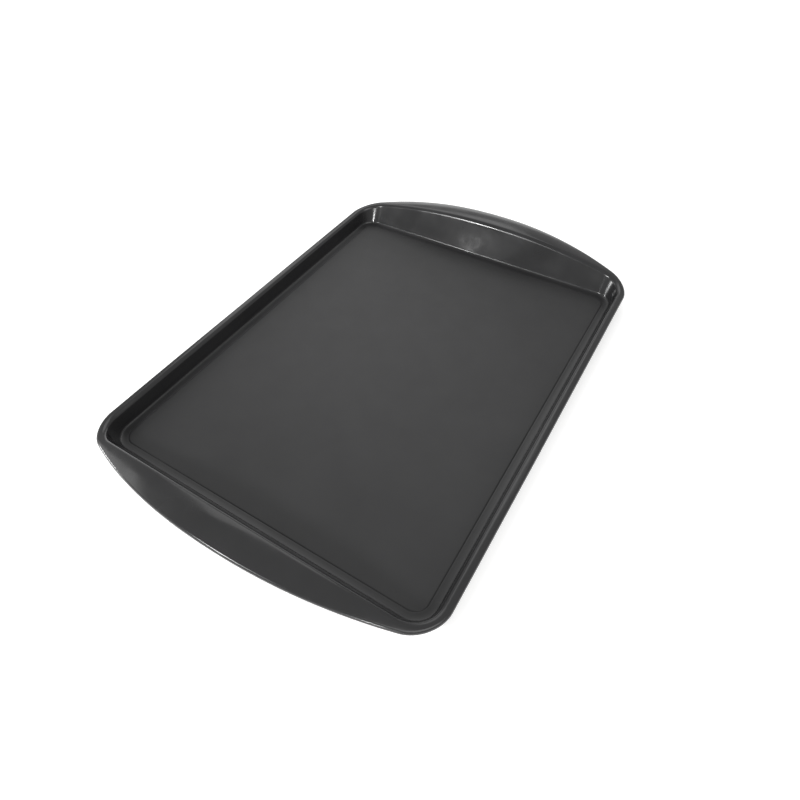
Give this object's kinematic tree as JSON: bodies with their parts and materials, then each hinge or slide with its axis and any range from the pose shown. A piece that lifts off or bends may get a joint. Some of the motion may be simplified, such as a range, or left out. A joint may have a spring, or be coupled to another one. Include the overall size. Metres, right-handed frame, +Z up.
{
  "type": "baking tray",
  "caption": "Shallow non-stick steel baking tray with a slightly raised floor panel, a wired rolled rim and arched crescent handles at both ends.",
  "frame": {"origin": "centre of the tray's footprint, on the surface that the tray stands on", "axes": "+X across the tray, +Y along its length towards one handle, +Z up"},
  "size_m": [0.292, 0.438, 0.031],
  "materials": {
    "nonstick_steel": "dark grey non-stick coating on pressed steel, semi-gloss",
    "wire_steel": "plain drawn steel wire"
  },
  "bodies": {
    "root": {"pan": "nonstick_steel", "rim_wire": "wire_steel"}
  },
  "joints": []
}
